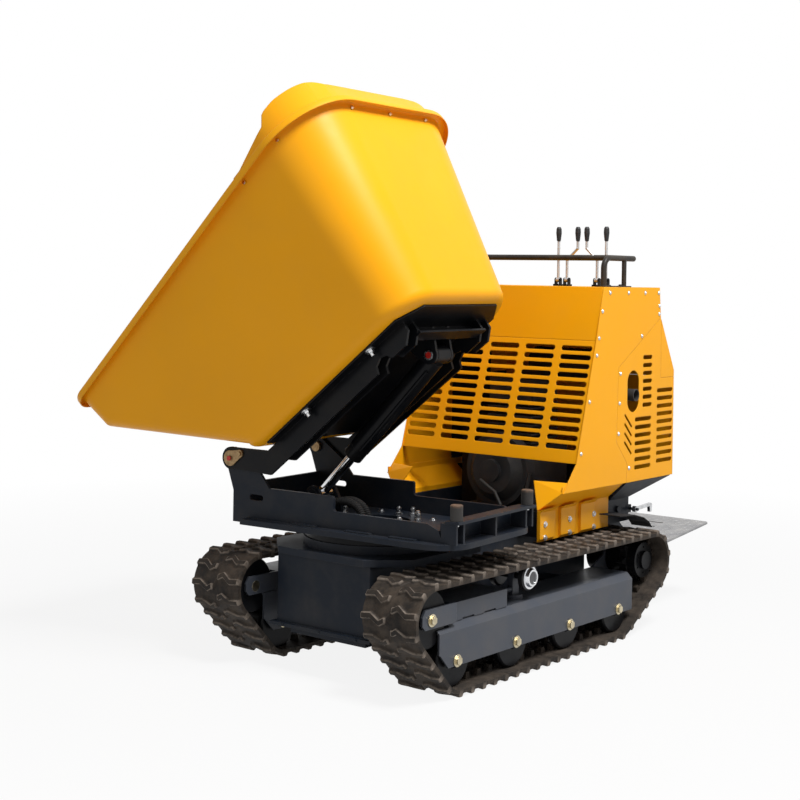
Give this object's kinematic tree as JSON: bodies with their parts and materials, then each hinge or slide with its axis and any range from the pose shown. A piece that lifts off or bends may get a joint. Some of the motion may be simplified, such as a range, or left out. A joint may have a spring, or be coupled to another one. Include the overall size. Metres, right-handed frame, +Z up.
{
  "type": "tracked power carrier",
  "caption": "Stand-on tracked mini dumper: rubber-tracked chassis with a boxed engine housing, levers, fold-up platform and a deep hopper that swivels and tips on a hydraulic cylinder.",
  "frame": {"origin": "middle of the footprint box on the ground, in the pose shown with the hopper swivelled sideways and tipped", "axes": "+X the machine's left side, +Y its rear where the operator stands, +Z up"},
  "size_m": [1.678, 2.4583, 2.116],
  "materials": {
    "dark_steel": "satin dark navy paint",
    "slate_paint": "semi-gloss slate grey paint",
    "black_paint": "gloss black paint",
    "yellow_paint": "gloss powder coat",
    "track_rubber": "dusty matte rubber",
    "bumper_rubber": "matte rubber",
    "black_plastic": "matte black",
    "gold_zinc": "yellow zinc plate",
    "bright_zinc": "bright zinc plate",
    "chrome": "polished",
    "cast_metal": "as cast",
    "checker_plate": "worn grey plate"
  },
  "bodies": {
    "chassis": {"chassis_frame": "dark_steel", "track_frame_left": "slate_paint", "track_frame_right": "slate_paint", "idler_forks": "slate_paint", "track_belt_left": "track_rubber", "track_belt_right": "track_rubber", "track_axles": "gold_zinc", "drive_motors": "black_paint", "slew_ring_base": "dark_steel", "engine_deck": "dark_steel", "deck_skirts": "yellow_paint", "engine_block": "cast_metal", "hydraulic_pump": "bright_zinc", "tanks": "black_plastic", "control_valve": "black_paint", "exhaust": "dark_steel", "front_panel": "yellow_paint", "grille_panel": "yellow_paint", "console_top": "yellow_paint", "side_panel_left": "yellow_paint", "side_panel_right": "yellow_paint", "rear_side_left": "yellow_paint", "rear_side_right": "yellow_paint", "rear_hood": "yellow_paint", "rear_panel": "yellow_paint", "handrail": "slate_paint", "panel_screws": "bright_zinc", "mud_guards": "bumper_rubber"},
    "turntable": {"turntable_tray": "dark_steel", "slew_ring_top": "black_paint", "rubber_bumpers": "bumper_rubber", "tray_hose": "black_plastic", "tray_fittings": "bright_zinc"},
    "hopper": {"hopper_tub": "yellow_paint", "spill_guard": "yellow_paint", "hopper_subframe": "black_paint", "pivot_pins": "gold_zinc", "hopper_bolts": "bright_zinc"},
    "barrel": {"cylinder_barrel": "black_paint"},
    "rod": {"piston_rod": "chrome"},
    "platform": {"standing_platform": "checker_plate"},
    "latch": {"platform_latch": "bright_zinc"},
    "lever_1": {"lever_1": "bright_zinc"},
    "lever_2": {"lever_2": "bright_zinc"},
    "lever_3": {"lever_3": "bright_zinc"},
    "lever_4": {"lever_4": "bright_zinc"},
    "sprocket_left": {"sprocket_left": "slate_paint"},
    "idler_left": {"idler_left": "black_paint"},
    "carrier_left": {"carrier_left": "chrome"},
    "roller_left_1": {"roller_left_1": "black_paint"},
    "roller_left_2": {"roller_left_2": "black_paint"},
    "roller_left_3": {"roller_left_3": "black_paint"},
    "roller_left_4": {"roller_left_4": "black_paint"},
    "sprocket_right": {"sprocket_right": "slate_paint"},
    "idler_right": {"idler_right": "black_paint"},
    "carrier_right": {"carrier_right": "chrome"},
    "roller_right_1": {"roller_right_1": "black_paint"},
    "roller_right_2": {"roller_right_2": "black_paint"},
    "roller_right_3": {"roller_right_3": "black_paint"},
    "roller_right_4": {"roller_right_4": "black_paint"}
  },
  "joints": [
    {"name": "slew", "type": "hinge", "parent": "chassis", "child": "turntable", "pos_m": [0.29497, -0.658, 0.475], "axis": [0, 0, 1], "range_deg": [-4, 176]},
    {"name": "tip", "type": "hinge", "parent": "turntable", "child": "hopper", "pos_m": [-0.17588, -0.69093, 0.742], "axis": [0.0698, -0.9976, 0], "range_deg": [-39.6, 20]},
    {"name": "barrel_pivot", "type": "hinge", "parent": "hopper", "child": "barrel", "pos_m": [0.55413, -0.63988, 1.15012], "axis": [0.0698, -0.9976, 0], "range_deg": [-5.08, 2.62]},
    {"name": "rod_stroke", "type": "slide", "parent": "barrel", "child": "rod", "axis": [-0.6816, -0.0477, -0.7302], "range_m": [-0.1616, 0.0836]},
    {"name": "platform_fold", "type": "hinge", "parent": "chassis", "child": "platform", "pos_m": [0.29497, 0.788, 0.276], "axis": [1, 0, 0], "range_deg": [0, 70]},
    {"name": "latch_swing", "type": "hinge", "parent": "chassis", "child": "latch", "pos_m": [0.67097, 0.602, 0.467], "axis": [1, 0, 0], "range_deg": [0, 35]},
    {"name": "lever_1_swing", "type": "hinge", "parent": "chassis", "child": "lever_1", "pos_m": [0.36097, 0.462, 1.427], "axis": [1, 0, 0], "range_deg": [-15, 15], "stiffness_Nm_per_rad": 6},
    {"name": "lever_2_swing", "type": "hinge", "parent": "chassis", "child": "lever_2", "pos_m": [0.40397, 0.462, 1.427], "axis": [1, 0, 0], "range_deg": [-15, 15], "stiffness_Nm_per_rad": 6},
    {"name": "lever_3_swing", "type": "hinge", "parent": "chassis", "child": "lever_3", "pos_m": [0.55197, 0.462, 1.427], "axis": [1, 0, 0], "range_deg": [-15, 15], "stiffness_Nm_per_rad": 6},
    {"name": "lever_4_swing", "type": "hinge", "parent": "chassis", "child": "lever_4", "pos_m": [0.59497, 0.462, 1.427], "axis": [1, 0, 0], "range_deg": [-15, 15], "stiffness_Nm_per_rad": 6},
    {"name": "sprocket_left_spin", "type": "hinge", "parent": "chassis", "child": "sprocket_left", "pos_m": [0.70247, 0.522, 0.276], "axis": [1, 0, 0], "continuous": true},
    {"name": "idler_left_spin", "type": "hinge", "parent": "chassis", "child": "idler_left", "pos_m": [0.70247, -0.962, 0.282], "axis": [1, 0, 0], "continuous": true},
    {"name": "carrier_left_spin", "type": "hinge", "parent": "chassis", "child": "carrier_left", "pos_m": [0.70247, -0.348, 0.3331], "axis": [1, 0, 0], "continuous": true},
    {"name": "roller_left_1_spin", "type": "hinge", "parent": "chassis", "child": "roller_left_1", "pos_m": [0.70247, -0.818, 0.121], "axis": [1, 0, 0], "continuous": true},
    {"name": "roller_left_2_spin", "type": "hinge", "parent": "chassis", "child": "roller_left_2", "pos_m": [0.70247, -0.458, 0.121], "axis": [1, 0, 0], "continuous": true},
    {"name": "roller_left_3_spin", "type": "hinge", "parent": "chassis", "child": "roller_left_3", "pos_m": [0.70247, -0.098, 0.121], "axis": [1, 0, 0], "continuous": true},
    {"name": "roller_left_4_spin", "type": "hinge", "parent": "chassis", "child": "roller_left_4", "pos_m": [0.70247, 0.262, 0.121], "axis": [1, 0, 0], "continuous": true},
    {"name": "sprocket_right_spin", "type": "hinge", "parent": "chassis", "child": "sprocket_right", "pos_m": [-0.11253, 0.522, 0.276], "axis": [1, 0, 0], "continuous": true},
    {"name": "idler_right_spin", "type": "hinge", "parent": "chassis", "child": "idler_right", "pos_m": [-0.11253, -0.962, 0.282], "axis": [1, 0, 0], "continuous": true},
    {"name": "carrier_right_spin", "type": "hinge", "parent": "chassis", "child": "carrier_right", "pos_m": [-0.11253, -0.348, 0.3331], "axis": [1, 0, 0], "continuous": true},
    {"name": "roller_right_1_spin", "type": "hinge", "parent": "chassis", "child": "roller_right_1", "pos_m": [-0.11253, -0.818, 0.121], "axis": [1, 0, 0], "continuous": true},
    {"name": "roller_right_2_spin", "type": "hinge", "parent": "chassis", "child": "roller_right_2", "pos_m": [-0.11253, -0.458, 0.121], "axis": [1, 0, 0], "continuous": true},
    {"name": "roller_right_3_spin", "type": "hinge", "parent": "chassis", "child": "roller_right_3", "pos_m": [-0.11253, -0.098, 0.121], "axis": [1, 0, 0], "continuous": true},
    {"name": "roller_right_4_spin", "type": "hinge", "parent": "chassis", "child": "roller_right_4", "pos_m": [-0.11253, 0.262, 0.121], "axis": [1, 0, 0], "continuous": true}
  ],
  "couplings": [
    {"joint": "barrel_pivot", "follows": "tip", "ratio": 0.125},
    {"joint": "rod_stroke", "follows": "tip", "m_per_rad": 0.228},
    {"joint": "idler_left_spin", "follows": "sprocket_left_spin", "ratio": 0.99029},
    {"joint": "carrier_left_spin", "follows": "sprocket_left_spin", "ratio": 2.125},
    {"joint": "roller_left_1_spin", "follows": "sprocket_left_spin", "ratio": 1.0737},
    {"joint": "roller_left_2_spin", "follows": "sprocket_left_spin", "ratio": 1.0737},
    {"joint": "roller_left_3_spin", "follows": "sprocket_left_spin", "ratio": 1.0737},
    {"joint": "roller_left_4_spin", "follows": "sprocket_left_spin", "ratio": 1.0737},
    {"joint": "idler_right_spin", "follows": "sprocket_right_spin", "ratio": 0.99029},
    {"joint": "carrier_right_spin", "follows": "sprocket_right_spin", "ratio": 2.125},
    {"joint": "roller_right_1_spin", "follows": "sprocket_right_spin", "ratio": 1.0737},
    {"joint": "roller_right_2_spin", "follows": "sprocket_right_spin", "ratio": 1.0737},
    {"joint": "roller_right_3_spin", "follows": "sprocket_right_spin", "ratio": 1.0737},
    {"joint": "roller_right_4_spin", "follows": "sprocket_right_spin", "ratio": 1.0737}
  ]
}
